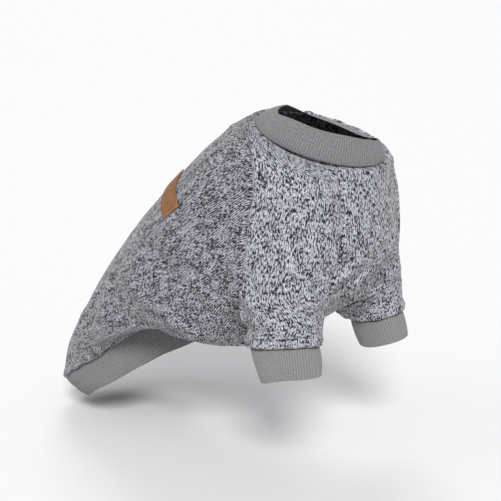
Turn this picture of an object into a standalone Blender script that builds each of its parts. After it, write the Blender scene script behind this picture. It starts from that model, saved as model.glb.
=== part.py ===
"""A raglan dog sweater as worn by a sitting dog: a fleece back panel, a chest and belly
panel and two short sleeves, with ribbed collar, cuffs and hem, and a leather label.

Every piece of cloth is a closed wall. The garment's outer form is one smooth surface,
a trunk blended with two sleeve tubes, and the panels are cut from it along the seams.
+X runs forward to the chest, +Y to the wearer's left and +Z up. The origin is at the
withers, on the inside of the back panel. The tables are in millimetres.
"""

import bpy
import numpy as np

MM = 0.001
GAP = 0.3  # between two pieces at a seam
UNDERARM_EASE = 1.0  # how much wider the gap gets where four seams meet
FLEECE = 2.6  # thickness of the panels
RIB_KNIT = 1.9  # thickness of the bands, to the crest of a rib
RIB_HEIGHT = 0.5
RIB_PITCH = 2.5
BAND_STEP = 0.5  # how far the bands start below the fleece's face
BLEND = 22.0  # width of the soft blend between trunk and sleeve
FULLNESS = 2.2  # roundness of a sleeve's section, 2 for an ellipse
CUFF_YAW = 15.0  # degrees that the sleeves' flat sides turn in at the front

# The trunk's sections from the neck to the hem. Each lies in a plane across the trunk,
# through its back point and its front point on the middle line.
TRUNK = (
    # name, back_x, back_z, front_x, front_z, half_width, widest_at, fullness
    ("neck seam", 23, 11, 143, -31, 66, 0.50, 2.0),
    ("withers", -7, -1.8, 151, -70, 81, 0.50, 2.1),
    ("shoulder", -59, -46, 151, -112, 93, 0.48, 2.2),
    ("brisket", -112, -95, 122, -155, 97, 0.48, 2.3),
    ("ribs", -157, -144, 80, -190, 95, 0.48, 2.3),
    ("flank", -196, -197, 31, -216, 91, 0.48, 2.2),
    ("loin", -226, -251, -42, -196, 87, 0.48, 2.1),
    ("hem seam", -235, -303, -91, -204, 80, 0.50, 2.0),
)

# The sections of a sleeve from inside the shoulder to the cuff, y outward.
SLEEVE = (
    # name, x, y, z, half_fore, half_side
    ("cap", 60, 20, 10, 12, 10),
    ("shoulder", 78, 44, -45, 44, 34),
    ("upper arm", 87, 57, -100, 41, 34),
    ("elbow", 94, 67, -150, 37, 31),
    ("cuff seam", 102, 75, -194, 30, 24),
    ("cuff edge", 109, 79, -220, 28, 22),
)
CUFF_SEAM = 4  # its row in SLEEVE

# The middle of a sleeve panel, from the neck ring's centre down into the cuff.
SLEEVE_MIDDLE = (
    # row, x, y, z
    (0.0, 83, 0, -10),
    (1.0, 86, 22, -57),
    (2.0, 91, 42, -97),
    (3.0, 93, 60, -144),
    (4.0, 101, 71, -187),
)

# Where the seams cross the trunk's sections, in degrees round from the back.
BACK_RAGLAN = (
    # section, degrees
    (0.0, 35), (0.25, 54), (0.5, 69), (1.0, 87), (2.0, 107), (3.0, 124),
    (3.5, 132), (3.75, 140), (3.875, 144), (4.0, 157),
)
FRONT_RAGLAN = (
    # section, degrees
    (0.0, 140), (1.0, 147), (2.0, 154), (3.0, 159), (3.25, 161),
    (3.5, 163.5), (3.75, 164), (3.875, 162), (4.0, 157),
)
SIDE_SEAM = ((4.0, 157), (5.0, 151), (6.0, 146), (7.0, 143))
UNDERARM = 4.0  # section where the four seams meet
BACK_LENGTHS = (  # the back panel's wall, in lengths end to end
    # name, first section, last section
    ("back_panel_upper", 0.0, 1.75),
    ("back_panel_middle", 1.75, 4.25),
    ("back_panel_rear", 4.25, 7.0),
)
HIP = 4.8  # no sleeve reaches past this section
HEM = 7.0
BEYOND = 0.6  # the form runs on this far past the neck and the hem
LIP = 0.08  # of a section, between a panel's lip and its edge
EXTRA_ROWS = (3.375, 3.875)  # finer rows where the seams turn in under the arm
SEAM_HOLD = 5  # how fast a sleeve's rows level out away from the seams

# Folds as soft ridges, or troughs where the height is below zero.
FOLDS = (
    # name, x0, y0, z0, x1, y1, z1, width, height
    ("flank ridge", -98, -92, -190, -20, -92, -199, 13, 4.0),
    ("flank trough", -75, -97, -160, -30, -97, -188, 12, -3.5),
    ("rump ridge", -165, -75, -180, -190, -62, -262, 10, 2.5),
    ("rump trough", -140, -86, -185, -165, -76, -265, 12, -2.5),
    ("elbow dimple", 92, -104, -122, 118, -92, -160, 11, -4.0),
    ("chest fold", 152, 30, -92, 128, -30, -152, 9, 3.0),
    ("chest crease", 150, 12, -112, 122, -34, -166, 7, -3.0),
    ("left flank ridge", -115, 90, -185, -25, 92, -202, 14, 3.5),
    ("left flank trough", -90, 96, -158, -20, 98, -180, 12, -3.5),
    ("left rump ridge", -170, 72, -190, -185, 66, -258, 11, 2.5),
    ("left elbow fold", 128, 82, -105, 122, 62, -158, 8, -3.0),
    ("left shoulder fold", 60, 98, -120, 92, 104, -165, 10, -3.5),
)
LIP_RISE = 1.6  # how far the gathered fleece stands out beside a band's seam
LIP_REACH = 9.0
LIP_FALL = 1.6  # how fast the lip dies away past its crest
CUFF_ZONE = 60.0  # a cuff's lip stays this near to the cuff

# The bands' free edges, as rings.
COLLAR_RIM = (43, 17, 139, -7, 50)  # back_x, back_z, front_x, front_z, half_width
COLLAR_TIP = (4.0, -14.0)  # how far its right and left sides stand above its middle
HEM_EDGE = (-205, -313, -83, -242, 71)
COLLAR_BULGE = 2.0
HEM_BULGE = 1.5
CUFF_BULGE = 0.8

# The rear sits turned about the middle line, with its left side up.
REAR_ROLL = 0.12  # rise for each millimetre to the left
ROLL_FROM, ROLL_OVER = -20.0, 120.0  # where it starts in x, and how soon it is whole

# Where the wearer's bent legs draw the cloth aside: each place, how far round it the
# pull reaches, and the pull itself.
DRAWN = (
    # name, x, y, z, reach, move_x, move_z
    ("right cuff", 70, -75, -192, 24, -11, 0),
    ("edge of the belly", -62, -88, -222, 45, 0, 12),
)

# The label's corners, as section and degrees round from the back, on the right side.
LABEL = (
    # corner, section, degrees
    ("front top", 1.95, 25),
    ("rear top", 2.27, 21),
    ("rear bottom", 2.56, 56),
    ("front bottom", 2.25, 59),
)
LABEL_THICKNESS = 1.5

BACK_COLUMNS = 30
FRONT_COLUMNS = 6
SLEEVE_COLUMNS = 16
ROWS_PER_SECTION = 4
TUBE_ROWS = 2
LABEL_COLUMNS, LABEL_ROWS = 10, 4
RING_SAMPLES = 200  # points that a band's girth is measured with
BAND_SHARES = (0.0, 0.5, 1.0)  # its rows, from the seam to the edge
INSIDE_STEP = 4  # a band's plain inside has one point for this many outside


def columns(table, first=1):
    return np.array([row[first:] for row in table], float)


def spline(table, at):
    """A smooth curve through the rows of a table, one unit of `at` from row to row."""
    at = np.asarray(at, float)
    row = np.clip(np.floor(at).astype(int), 0, len(table) - 2)
    part = (at - row)[..., None]
    more = np.vstack([2 * table[0] - table[1], table, 2 * table[-1] - table[-2]])
    a, b, c, d = more[row], more[row + 1], more[row + 2], more[row + 3]
    return b + 0.5 * part * (c - a + part * (2 * a - 5 * b + 4 * c - d + part * (3 * (b - c) + d - a)))


def unit(vectors):
    return vectors / np.maximum(np.linalg.norm(vectors, axis=-1, keepdims=True), 1e-9)


def dot(a, b):
    return (a * b).sum(axis=-1)


# ---- the outer form --------------------------------------------------------------

TRUNK_ROWS = columns(TRUNK)
SLEEVE_ROWS = columns(SLEEVE)
MIRROR = np.array([1.0, -1.0, 1.0])
STEP = 0.01


def oval(x, y, half_x, half_y, fullness):
    """The radius of a rounded oval in the direction x, y."""
    length = np.hypot(x, y) + 1e-9
    across = (np.abs(x) / length / half_x) ** fullness
    along = (np.abs(y) / length / half_y) ** fullness
    return (across + along) ** (-1 / fullness)


def trunk_section(at):
    """Centre, direction to the back, plane normal, and sizes of the trunk's section."""
    row = spline(TRUNK_ROWS, at)
    zero = np.zeros(row.shape[:-1])
    back = np.stack([row[..., 0], zero, row[..., 1]], axis=-1)
    front = np.stack([row[..., 2], zero, row[..., 3]], axis=-1)
    centre = back + (front - back) * row[..., 5:6]
    to_back = unit(back - front)
    normal = np.stack([-to_back[..., 2], zero, to_back[..., 0]], axis=-1)
    depth = np.linalg.norm(back - front, axis=-1)
    return centre, to_back, normal, depth * row[..., 5], depth * (1 - row[..., 5]), row[..., 4], row[..., 6]


def trunk_gap(points, at):
    centre, to_back, _, back, front, width, fullness = trunk_section(at)
    x = dot(points - centre, to_back)
    y = points[..., 1]
    return np.hypot(x, y) - oval(x, y, np.where(x > 0, back, front), width, fullness)


def sleeve_section(at):
    """Centre, direction down the sleeve, fore and side directions, and sizes."""
    row = spline(SLEEVE_ROWS, at)
    down = unit(spline(SLEEVE_ROWS, at + STEP)[..., :3] - spline(SLEEVE_ROWS, at - STEP)[..., :3])
    yaw = np.radians(CUFF_YAW)
    fore = np.broadcast_to(np.array([np.cos(yaw), -np.sin(yaw), 0.0]), down.shape)
    fore = unit(fore - dot(fore, down)[..., None] * down)
    return row[..., :3], down, fore, np.cross(down, fore), row[..., 3], row[..., 4]


def nearest_section(points, section, axis, first, last, start=None):
    """The section whose plane holds each point, looked for from `start` if it is given."""
    at = start
    if start is None:
        tries = np.linspace(first, last, 40)
        found = section(tries)
        at = tries[np.abs(dot(points[..., None, :] - found[0], found[axis])).argmin(axis=-1)]
    for _ in range(5):
        here, ahead = section(at), section(at + STEP)
        off = dot(points - here[0], here[axis])
        slope = (dot(points - ahead[0], ahead[axis]) - off) / STEP
        slope = np.where(np.abs(slope) < 5, np.copysign(5, slope), slope)
        at = np.clip(at - np.clip(off / slope, -0.5, 0.5), first, last)
    return at


def sleeve_gap(points):
    points = points * np.where(points[..., 1:2] < 0, MIRROR, 1.0)
    at = nearest_section(points, sleeve_section, 1, 0.0, CUFF_SEAM + 1 + BEYOND / 2)
    centre, down, fore, side, half_fore, half_side = sleeve_section(at)
    x, y, off = (dot(points - centre, axis) for axis in (fore, side, down))
    gap = np.hypot(x, y) - oval(x, y, half_fore, half_side, FULLNESS)
    beyond = np.hypot(np.maximum(gap, 0), off) + np.minimum(gap, 0)
    return np.where(np.abs(off) > 1, beyond, gap)


def form(points, start=None):
    """About how far each point lies outside the garment's outer form."""
    last = HIP if start is None else HEM + BEYOND
    at = nearest_section(points, trunk_section, 2, -BEYOND, last, start)
    trunk, sleeve = trunk_gap(points, at), sleeve_gap(points)
    share = np.clip(0.5 + 0.5 * (sleeve - trunk) / BLEND, 0, 1)
    return sleeve + (trunk - sleeve) * share - BLEND * share * (1 - share)


def cast(origins, directions, start=None, first=4.0, reach=240.0, steps=48, halvings=14):
    """The first point on the form along each ray."""
    near = np.full(origins.shape[:-1], first)
    far = np.full(origins.shape[:-1], reach)
    open_ = np.ones(origins.shape[:-1], bool)
    for distance in np.linspace(first, reach, steps)[1:]:
        outside = form(origins + directions * distance, start) > 0
        far = np.where(open_ & outside, distance, far)
        open_ &= ~outside
        near = np.where(open_, distance, near)
    for _ in range(halvings):
        middle = (near + far) / 2
        inside = form(origins + directions * middle[..., None], start) < 0
        near = np.where(inside, middle, near)
        far = np.where(inside, far, middle)
    return origins + directions * ((near + far) / 2)[..., None]


def normals_of(points, start=None):
    slopes = [form(points + step, start) - form(points - step, start) for step in np.eye(3)]
    return unit(np.stack(slopes, axis=-1))


def fold_height(points):
    height = np.zeros(points.shape[:-1])
    for fold in FOLDS:
        start, end = np.array(fold[1:4], float), np.array(fold[4:7], float)
        along = np.clip(dot(points - start, end - start) / dot(end - start, end - start), 0, 1)
        off = np.linalg.norm(points - start - along[..., None] * (end - start), axis=-1)
        height += fold[8] * np.exp(-((off / fold[7]) ** 2))
    return height


def in_plane(vectors, normal):
    return unit(vectors - dot(vectors, normal)[..., None] * normal)


# ---- walls and bands -------------------------------------------------------------


def material(name, colour, roughness):
    made = bpy.data.materials.new(name)
    made.use_nodes = True
    shader = made.node_tree.nodes["Principled BSDF"]
    shader.inputs["Base Color"].default_value = (*colour, 1.0)
    shader.inputs["Roughness"].default_value = roughness
    shader.inputs["Metallic"].default_value = 0.0
    return made


def clear_scene():
    for item in list(bpy.data.objects):
        bpy.data.objects.remove(item, do_unlink=True)


def posed(points):
    """The points with the garment's rear turned, and drawn aside as DRAWN says."""
    share = np.clip((ROLL_FROM - points[:, 0]) / ROLL_OVER, 0, 1)
    rise = REAR_ROLL * points[:, 1] * share**2 * (3 - 2 * share)
    moves = [np.zeros(len(points)), np.zeros(len(points)), rise]
    for _, *place, reach, move_x, move_z in DRAWN:
        near = np.exp(-((np.linalg.norm(points - place, axis=1) / reach) ** 2))
        moves[0] = moves[0] + move_x * near
        moves[2] = moves[2] + move_z * near
    return points + np.stack(moves, axis=1)


def add_object(collection, name, points, faces, finish):
    mesh = bpy.data.meshes.new(name)
    mesh.from_pydata((posed(np.array(points)) * MM).tolist(), [], faces)
    mesh.validate()
    mesh.materials.append(finish)
    mesh.shade_smooth()
    mesh.set_sharp_from_angle(angle=np.radians(50))
    made = bpy.data.objects.new(name, mesh)
    collection.objects.link(made)
    return made


def halves(quad, points):
    """Two triangles, split along the quad's shorter diagonal."""
    a, b, c, d = quad
    if np.linalg.norm(points[a] - points[c]) <= np.linalg.norm(points[b] - points[d]):
        return [(a, b, c), (a, c, d)]
    return [(a, b, d), (b, c, d)]


def wall(outer, inner, closed_from=None, flip=False):
    """A closed wall from two grids. Rows from closed_from on join their two ends."""
    rows, across = outer.shape[:2]
    closed_from = rows if closed_from is None else closed_from
    points, index = [], np.zeros((2, rows, across), int)
    for layer, grid in enumerate((outer, inner)):
        for i in range(rows):
            for j in range(across):
                if i >= closed_from and j == across - 1:
                    index[layer, i, j] = index[layer, i, 0]
                    continue
                index[layer, i, j] = len(points)
                points.append(grid[i, j])
    faces = []
    for i in range(rows - 1):
        for j in range(across - 1):
            for layer, order in ((0, 1), (1, -1)):
                quad = (
                    index[layer, i, j],
                    index[layer, i + 1, j],
                    index[layer, i + 1, j + 1],
                    index[layer, i, j + 1],
                )
                faces += halves(quad[::order], points)
    for j in range(across - 1):
        for i, order in ((0, 1), (rows - 1, -1)):
            rim = (index[0, i, j], index[0, i, j + 1], index[1, i, j + 1], index[1, i, j])
            faces.append(rim[::order])
    for i in range(min(closed_from, rows - 1)):
        for j, order in ((0, -1), (across - 1, 1)):
            here, below = index[:, i, j], index[:, i + 1, j]
            faces.append((here[0], below[0], below[1])[::order])
            faces.append((here[0], below[1], here[1])[::order])
    faces = [tuple(int(k) for k in face[:: -1 if flip else 1]) for face in faces]
    return points, faces


def ring_strip(fine, coarse, flip):
    """Triangles between a ring of points and one with a point for every few of them."""
    faces = []
    count, half = len(fine), INSIDE_STEP // 2
    for j in range(count):
        here = coarse[(j + half) // INSIDE_STEP % len(coarse)]
        after = coarse[(j + 1 + half) // INSIDE_STEP % len(coarse)]
        faces.append((fine[j], fine[(j + 1) % count], here))
        if after != here:
            faces.append((fine[(j + 1) % count], after, here))
    return [face[::-1] if flip else face for face in faces]


def ribbed_band(rings, outward, ribs, flip=False):
    """A band through the given rings, with ribs raised over a plain inside.

    rings(turn) gives the rows of outer points for an array of turns from 0 to 1, and
    outward(turn) the direction out of the cloth for each of them.
    """
    turns = np.arange(2 * ribs) / (2 * ribs)
    valley = np.where(np.arange(2 * ribs) % 2 == 0, 0.0, RIB_HEIGHT)
    outer = rings(turns) - outward(turns) * valley[None, :, None]
    coarse = turns[::INSIDE_STEP]
    inner = rings(coarse) - outward(coarse) * RIB_KNIT
    rows = len(outer)
    points = [*outer.reshape(-1, 3), *inner.reshape(-1, 3)]
    fine_at = [list(range(i * 2 * ribs, (i + 1) * 2 * ribs)) for i in range(rows)]
    start = rows * 2 * ribs
    coarse_at = [list(range(start + i * len(coarse), start + (i + 1) * len(coarse))) for i in range(rows)]
    faces = []
    for grid, order in ((fine_at, 1), (coarse_at, -1)):
        for upper, lower in zip(grid, grid[1:]):
            for j in range(len(upper)):
                k = (j + 1) % len(upper)
                faces.append((upper[j], lower[j], lower[k], upper[k])[::order])
    faces += ring_strip(fine_at[0], coarse_at[0], False)
    faces += ring_strip(fine_at[-1], coarse_at[-1], True)
    return points, [face[::-1] if flip else face for face in faces]


def ribs_round(first, last):
    """A whole number of ribs at the knit's pitch, in fours, for a band between two rings."""
    girths = [np.linalg.norm(np.diff(ring, axis=0, append=ring[:1]), axis=1).sum() for ring in (first, last)]
    return 2 * round(sum(girths) / 2 / RIB_PITCH / 2)


# ---- the seams and the panels ----------------------------------------------------


def seam_angle(table, at):
    rows = np.array(table, float)
    slopes = np.gradient(rows[:, 1], rows[:, 0])
    k = np.clip(np.searchsorted(rows[:, 0], at, side="right") - 1, 0, len(rows) - 2)
    span = rows[k + 1, 0] - rows[k, 0]
    part = (at - rows[k, 0]) / span
    rise = rows[k + 1, 1] - rows[k, 1]
    start, end = slopes[k] * span, slopes[k + 1] * span
    bend = (start + end - 2 * rise) * part**3 + (3 * rise - 2 * start - end) * part**2
    return np.radians(rows[k, 1] + start * part + bend)


def section_rows():
    """The sections that the panels' rows lie in, with a lip beside the two bands."""
    even = np.arange(0, HEM * ROWS_PER_SECTION + 1) / ROWS_PER_SECTION
    return np.sort(np.append(even, [LIP, *EXTRA_ROWS, HEM - LIP]))


def trunk_points(at, turn):
    """Points of the form on the trunk's sections; turn runs from the back to the left."""
    at, turn = np.broadcast_arrays(at, turn)
    centre, to_back, *_ = trunk_section(at)
    side = np.array([0.0, 1.0, 0.0])
    directions = to_back * np.cos(turn)[..., None] + side * np.sin(turn)[..., None]
    return cast(centre, directions, at)


def trunk_normals(base, at, turn):
    """Normals at those points. Past the hip the sections slant, so there they come from
    the surface's two directions instead of from the form."""
    at, turn = np.broadcast_arrays(at, turn)
    down = trunk_points(at + STEP, turn) - trunk_points(at - STEP, turn)
    aside = trunk_points(at, turn + STEP) - trunk_points(at, turn - STEP)
    return np.where((at > HIP)[..., None], unit(np.cross(aside, down)), normals_of(base, at))


def lip_height(points):
    """The gathered lip beside the neck, hem and cuff seams."""
    neck, hem = trunk_section(0.0), trunk_section(HEM)
    cuff = sleeve_section(float(CUFF_SEAM))
    folded = points * np.where(points[..., 1:2] < 0, MIRROR, 1.0)
    from_neck = np.abs(dot(points - neck[0], neck[2]))
    from_hem = np.abs(dot(points - hem[0], hem[2]))
    from_cuff = np.linalg.norm(folded - cuff[0], axis=-1)
    off_plane = np.abs(dot(folded - cuff[0], cuff[1]))
    from_cuff = np.where(from_cuff < CUFF_ZONE, off_plane, CUFF_ZONE)
    shares = np.stack([from_neck, from_hem, from_cuff]) / LIP_REACH * LIP_FALL
    return (LIP_RISE * np.e * shares / LIP_FALL * np.exp(-shares)).sum(axis=0)


def dressed(base, normals):
    """The form's points with the folds and lips raised."""
    return base + normals * (fold_height(base) + lip_height(base))[..., None]


def seam_shift(outer, normals, column, at):
    """How far an edge column moves into its own piece, square to the seam: half the gap,
    and more where four seams meet under the arm."""
    edge = outer[:, column]
    along = unit(np.gradient(edge, axis=0))
    across = unit(np.cross(normals[:, column], along))
    inward = outer[:, 2 if column == 0 else -3] - edge
    nearness = np.clip(1 - np.abs(at - UNDERARM), 0, 1)[:, None]
    return across * np.sign(dot(across, unit(inward)).sum()) * GAP / 2 * (1 + UNDERARM_EASE * nearness)


def panel(at, turns):
    """Outer and inner grids of a trunk panel, with its edges moved off the seams."""
    base = trunk_points(at[:, None], turns)
    normals = trunk_normals(base, at[:, None], turns)
    normals[0] = in_plane(normals[0], trunk_section(0.0)[2])
    hem = trunk_section(HEM)[2]
    normals[-1] = unit(normals[-1] - np.minimum(dot(normals[-1], hem), 0)[:, None] * hem)
    outer = dressed(base, normals)
    moves = [seam_shift(outer, normals, column, at) for column in (0, -1)]
    for column, move in zip((0, -1), moves):
        outer[:, column] += move
    return outer, outer - normals * FLEECE


def back_panel():
    at = section_rows()
    raglan = seam_angle(BACK_RAGLAN, np.minimum(at, UNDERARM))
    side = seam_angle(SIDE_SEAM, np.maximum(at, UNDERARM))
    half = np.where(at <= UNDERARM, raglan, side)
    return panel(at, half[:, None] * np.linspace(-1, 1, BACK_COLUMNS + 1))


def back_lengths():
    """The back panel as three lengths, end to end, with their facing rows moved apart."""
    at = section_rows()
    grids = np.stack(back_panel())
    for name, start, end in BACK_LENGTHS:
        length = grids[:, (at >= start) & (at <= end)].copy()
        for here, there in ((0, 1), (-1, -2)):
            if (start, end)[here] not in (0.0, HEM):
                length[:, here] += unit(length[:, there] - length[:, here]) * GAP / 2
        yield name, *length


def front_panel():
    at = section_rows()
    raglan = seam_angle(FRONT_RAGLAN, np.minimum(at, UNDERARM))
    side = seam_angle(SIDE_SEAM, np.maximum(at, UNDERARM))
    half = np.pi - np.where(at <= UNDERARM, raglan, side)
    return panel(at, np.pi + half[:, None] * np.linspace(-1, 1, FRONT_COLUMNS + 1))


def sleeve_form():
    """The right sleeve's outer form and normals, as drawn on the left side of the body.

    Rows run from the neck seam to the underarm, from the back seam round to the front
    seam, and then as rings to the cuff's seam.
    """
    at = section_rows()
    at = at[at <= UNDERARM + 1e-6]
    back = trunk_points(at, seam_angle(BACK_RAGLAN, at))
    front = trunk_points(at, seam_angle(FRONT_RAGLAN, at))
    middle = spline(columns(SLEEVE_MIDDLE), at)
    down = unit(spline(columns(SLEEVE_MIDDLE), at + STEP) - spline(columns(SLEEVE_MIDDLE), at - STEP))
    neck_down = trunk_section(0.0)[2] * np.array([1, 0, 1])
    neck_down = neck_down if neck_down[2] < 0 else -neck_down
    centre, cuff_down, cuff_fore, cuff_side, half_fore, half_side = sleeve_section(float(CUFF_SEAM))
    share, low = np.clip(at, 0, 1)[:, None], np.clip(at - UNDERARM + 1, 0, 1)[:, None]
    down = unit(neck_down * (1 - share) + (down * (1 - low) + cuff_down * low) * share)
    fore = unit(np.array([1.0, 0, 0]) - down[:, :1] * down)
    side = np.cross(down, fore)
    side *= np.where(side[:, 1:2] < 0, -1.0, 1.0)
    ways = []
    for seam in (back, front):
        way = seam - middle
        angle = np.arctan2(dot(way, side), dot(way, fore))
        lift = np.arctan2(dot(way, down), np.hypot(dot(way, side), dot(way, fore)))
        ways.append((angle, lift))
    (back_angle, back_lift), (front_angle, front_lift) = ways
    back_angle = np.where(back_angle < 0, back_angle + 2 * np.pi, back_angle)
    front_angle = np.where(front_angle > np.pi / 2, front_angle - 2 * np.pi, front_angle)
    front_angle[-1] = back_angle[-1] - 2 * np.pi
    part = np.linspace(0, 1, SLEEVE_COLUMNS + 1)
    angle = back_angle[:, None] * (1 - part) + front_angle[:, None] * part
    lift = back_lift[:, None] * (1 - part) ** SEAM_HOLD + front_lift[:, None] * part**SEAM_HOLD
    flat = fore[:, None] * np.cos(angle)[..., None] + side[:, None] * np.sin(angle)[..., None]
    ways = flat * np.cos(lift)[..., None] + down[:, None] * np.sin(lift)[..., None]
    origins = np.broadcast_to(middle[:, None], ways.shape)
    strip = cast(origins, ways)
    strip[:, 0], strip[:, -1] = back, front
    way = strip[-1] - centre
    angle = np.arctan2(dot(way, cuff_side), dot(way, cuff_fore))
    x, y = np.cos(angle), np.sin(angle)
    radius = oval(x, y, half_fore, half_side, FULLNESS)
    ring = centre + (cuff_fore * x[:, None] + cuff_side * y[:, None]) * radius[:, None]
    steps = (np.arange(TUBE_ROWS + 1) + 1) / (TUBE_ROWS + 1)
    tube = strip[-1] * (1 - steps[:, None, None]) + ring * steps[:, None, None]
    base = np.concatenate([strip, tube])
    normals = normals_of(base)
    for column, table, seam in ((0, BACK_RAGLAN, back), (-1, FRONT_RAGLAN, front)):
        normals[: len(at), column] = trunk_normals(seam, at, seam_angle(table, at))
    normals[0] = in_plane(normals[0], trunk_section(0.0)[2])
    ring_out = unit(ring - centre)
    normals[-1] = in_plane(ring_out, cuff_down)
    for row in range(1, TUBE_ROWS + 1):
        share = 1 - row / (TUBE_ROWS + 1)
        normals[-1 - row] = unit(normals[-1 - row] * (1 - share) + ring_out * share)
    return base, normals, at


def sleeve(side):
    """Outer and inner grids of one sleeve; side is 1 for the left, -1 for the right."""
    base, normals, at = sleeve_form()
    crotch = len(at) - 1
    if side < 0:
        base, normals = base * MIRROR, normals * MIRROR
    outer = dressed(base, normals)
    for column in (0, -1):
        move = seam_shift(outer[: crotch + 1], normals[: crotch + 1], column, at)
        outer[:crotch, column] += move[:crotch]
    below = unit(outer[crotch + 1, 0] - outer[crotch, 0])
    outer[crotch, 0] += below * 2 * GAP
    outer[crotch, -1] = outer[crotch, 0]
    outer[crotch + 1 :, -1] = outer[crotch + 1 :, 0]
    return outer, outer - normals * FLEECE, crotch


# ---- the bands and the label -----------------------------------------------------


def ring_between(back_x, back_z, front_x, front_z, half_width, turns, fullness=2.0):
    back, front = np.array([back_x, 0, back_z], float), np.array([front_x, 0, front_z], float)
    to_back = unit(back - front)
    x, y = np.cos(turns * 2 * np.pi), np.sin(turns * 2 * np.pi)
    radius = oval(x, y, np.linalg.norm(back - front) / 2, half_width, fullness)
    side = np.array([0.0, 1.0, 0.0])
    return (back + front) / 2 + (to_back * x[:, None] + side * y[:, None]) * radius[:, None]


def band_rows(first, last, out, bulge):
    """Rows of a band between two rings, standing out by `bulge` half way."""
    rows = [first + (last - first) * share + out * bulge * 4 * share * (1 - share) for share in BAND_SHARES]
    return np.array(rows)


def body_band(where, edge, bulge, tip):
    """A band on the trunk's first or last section, out to its free edge."""
    row = TRUNK_ROWS[int(where)]
    centre, _, normal, *_ = trunk_section(where)
    ahead = ring_between(*edge, np.zeros(1))[0] - ring_between(*row[:5], np.zeros(1))[0]
    normal = normal * np.sign(dot(normal, ahead))

    def outward(turns):
        return in_plane(ring_between(*row[:5], turns) - centre, normal)[None]

    def rings(turns):
        out = outward(turns)[0]
        first = ring_between(*row[:5], turns) - out * BAND_STEP + normal * GAP
        last = ring_between(*edge, turns)
        last[:, 2] += np.interp(last[:, 1] / edge[4], (-1, 0, 1), (tip[0], 0, tip[1]))
        return band_rows(first, last, out, bulge)

    return rings, outward


def cuff_band(side):
    """A band round the end of a sleeve."""
    flip = MIRROR if side < 0 else np.ones(3)

    def ring(at, turns):
        centre, _, fore, across, half_fore, half_side = sleeve_section(at)
        x, y = np.cos(turns * 2 * np.pi), np.sin(turns * 2 * np.pi)
        radius = oval(x, y, half_fore, half_side, FULLNESS)
        return centre + (fore * x[:, None] + across * y[:, None]) * radius[:, None]

    centre, down, *_ = sleeve_section(float(CUFF_SEAM))

    def outward(turns):
        return unit(ring(float(CUFF_SEAM), turns) - centre)[None] * flip

    def rings(turns):
        out = outward(turns)[0] * flip
        first = ring(float(CUFF_SEAM), turns) - out * BAND_STEP + down * GAP
        return band_rows(first, ring(CUFF_SEAM + 1.0, turns), out, CUFF_BULGE) * flip

    return rings, outward


def label():
    """Outer and inner grids of the leather patch, from the back panel's own points."""
    corners = columns(LABEL)
    down, across = np.linspace(0, 1, LABEL_ROWS + 1), np.linspace(0, 1, LABEL_COLUMNS + 1)
    top = corners[0] * (1 - down[:, None]) + corners[1] * down[:, None]
    bottom = corners[3] * (1 - down[:, None]) + corners[2] * down[:, None]
    spots = top[:, None] * (1 - across[None, :, None]) + bottom[:, None] * across[None, :, None]
    base = trunk_points(spots[..., 0], -np.radians(spots[..., 1]))
    normals = normals_of(base, spots[..., 0])
    under = dressed(base, normals) + normals * GAP
    return under + normals * LABEL_THICKNESS, under


# ---- the sweater -----------------------------------------------------------------

clear_scene()
sweater = bpy.data.collections.new("dog_sweater")
bpy.context.scene.collection.children.link(sweater)

fleece = material("heather_fleece", (0.50, 0.50, 0.55), 0.95)
rib = material("grey_rib", (0.25, 0.25, 0.26), 0.9)
leather = material("tan_leather", (0.42, 0.20, 0.07), 0.55)

for name, outer, inner in back_lengths():
    add_object(sweater, name, *wall(outer, inner, flip=True), fleece)
add_object(sweater, "front_panel", *wall(*front_panel(), flip=True), fleece)
for side, name in ((-1, "sleeve_right"), (1, "sleeve_left")):
    outer, inner, crotch = sleeve(side)
    add_object(sweater, name, *wall(outer, inner, crotch, flip=side > 0), fleece)

turns = np.arange(RING_SAMPLES) / RING_SAMPLES
for name, where, edge, bulge, tip in (
    ("collar", 0.0, COLLAR_RIM, COLLAR_BULGE, COLLAR_TIP),
    ("hem_band", HEM, HEM_EDGE, HEM_BULGE, (0.0, 0.0)),
):
    rings, outward = body_band(where, edge, bulge, tip)
    ribs = ribs_round(rings(turns)[0], rings(turns)[-1])
    add_object(sweater, name, *ribbed_band(rings, outward, ribs, flip=where == HEM), rib)
for side, name in ((-1, "cuff_right"), (1, "cuff_left")):
    rings, outward = cuff_band(side)
    ribs = ribs_round(rings(turns)[0], rings(turns)[-1])
    add_object(sweater, name, *ribbed_band(rings, outward, ribs, flip=side > 0), rib)

add_object(sweater, "label", *wall(*label()), leather)
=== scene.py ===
"""The looks of a raglan dog sweater, in worn form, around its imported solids."""
from math import cos, pi, radians, sin

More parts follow.
